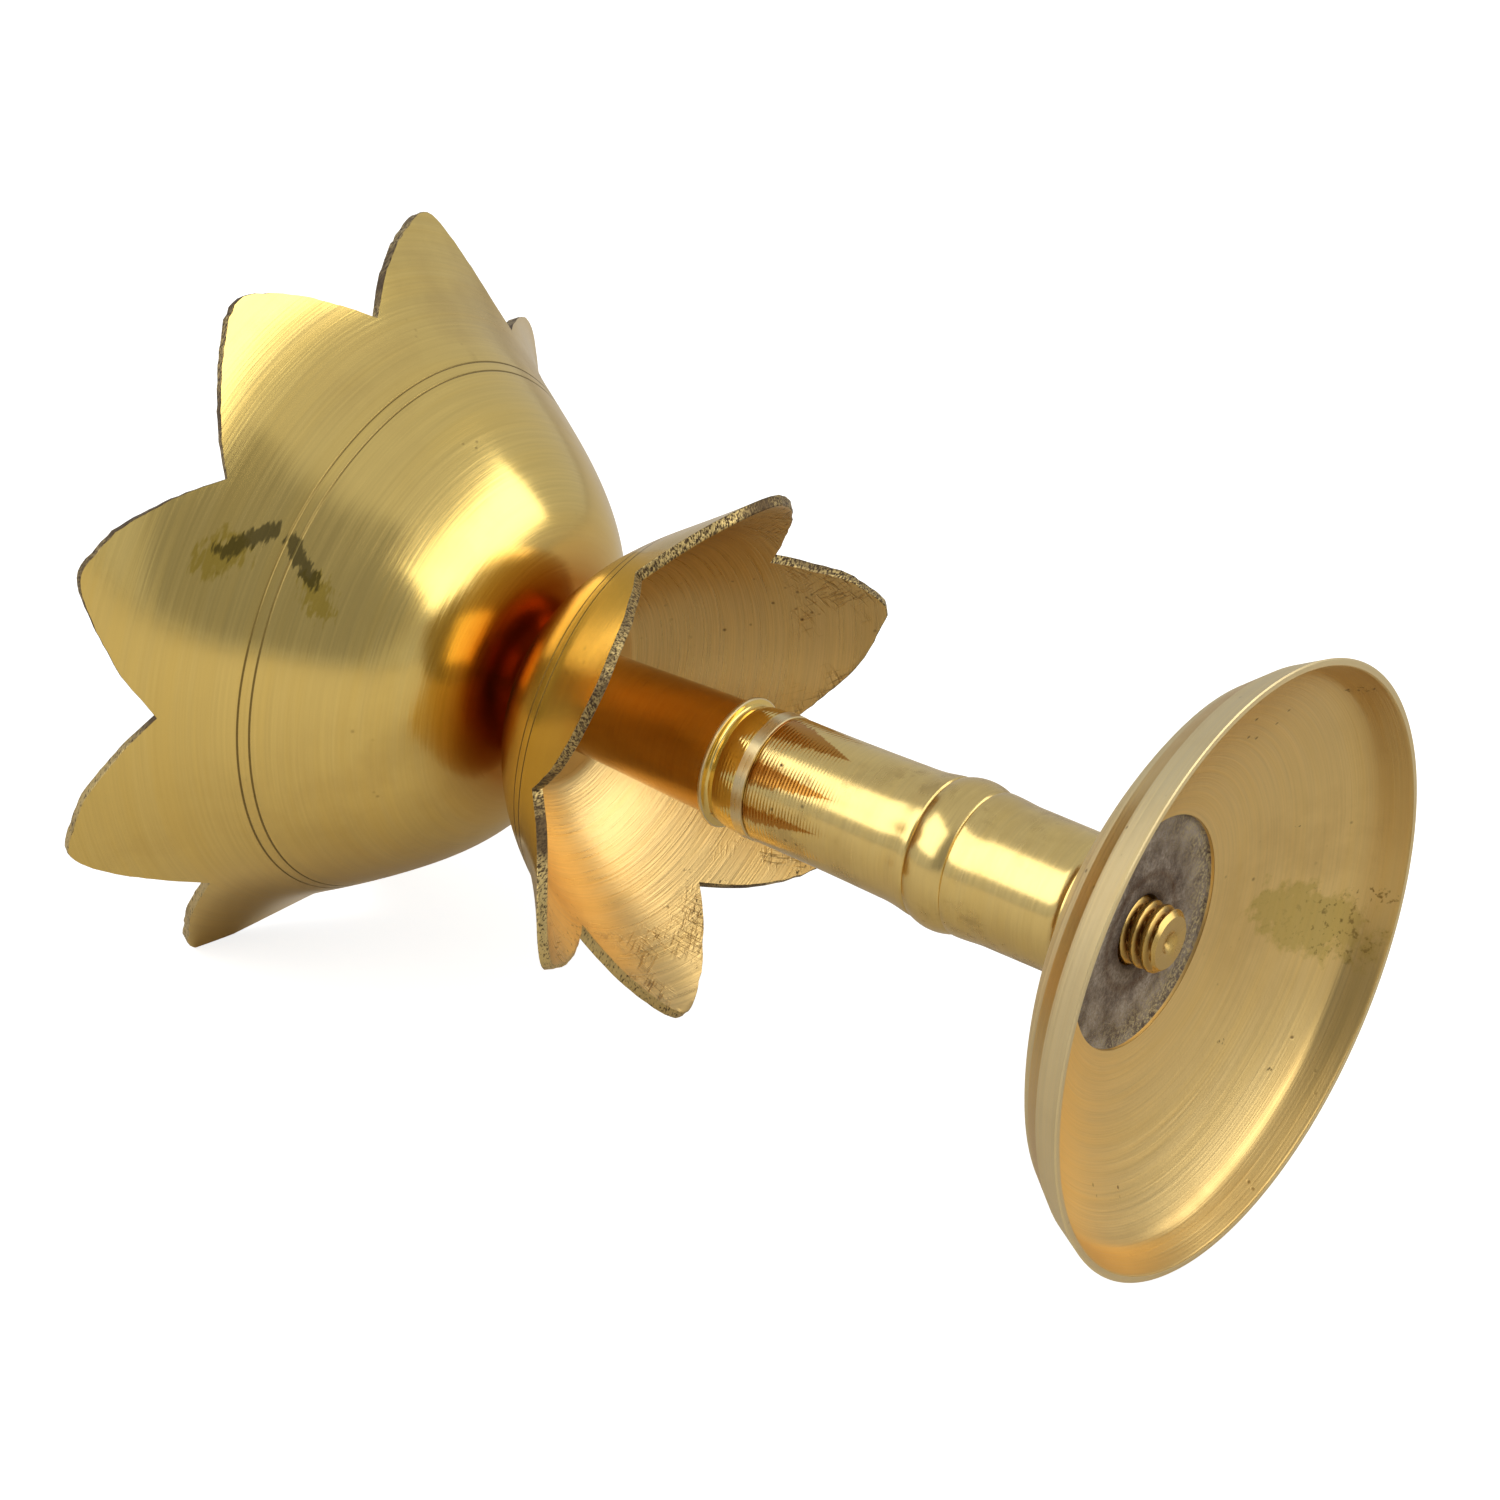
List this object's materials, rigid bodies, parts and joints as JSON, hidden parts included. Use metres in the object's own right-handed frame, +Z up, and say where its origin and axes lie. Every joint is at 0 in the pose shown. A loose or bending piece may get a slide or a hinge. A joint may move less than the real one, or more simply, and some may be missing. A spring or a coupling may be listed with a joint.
{
  "type": "lotus oil lamp",
  "caption": "Brass lotus oil lamp: dished foot, turned pillar with bead and collar, inverted small lotus, large lotus bowl, lift-out oil cup and wick holder.",
  "frame": {"origin": "centre of the foot's rim, on the surface that the lamp stands on", "axes": "+Z up along the rod, from the foot to the large lotus; +X through the point of one of the large lotus's petals"},
  "size_m": [0.094, 0.094, 0.1343],
  "materials": {
    "foot_brass": "turned, satin, with an as-cast pad under the middle",
    "pillar_brass": "turned and polished",
    "sleeve_brass": "polished, darkened",
    "small_lotus_brass": "polished outside, matt turned inside, dark sawn edges",
    "large_lotus_brass": "polished with fine turning lines",
    "rod_brass": "threaded, bright end",
    "hardware_brass": "plain machined",
    "cup_brass": "turned, satin"
  },
  "bodies": {
    "stand": {"base_foot": "foot_brass", "pillar": "pillar_brass", "collar": "pillar_brass", "inner_sleeve": "sleeve_brass", "small_lotus": "small_lotus_brass", "large_lotus": "large_lotus_brass", "tie_rod": "rod_brass", "clamp_washer": "hardware_brass", "clamp_nut": "hardware_brass"},
    "oil_cup": {"oil_cup": "cup_brass"},
    "wick_holder": {"wick_holder": "cup_brass"}
  },
  "joints": [
    {"name": "cup_lift", "type": "slide", "parent": "stand", "child": "oil_cup", "axis": [0, 0, 1], "range_m": [0, 0.045]},
    {"name": "wick_holder_lift", "type": "slide", "parent": "oil_cup", "child": "wick_holder", "axis": [0, 0, 1], "range_m": [0, 0.025]}
  ]
}
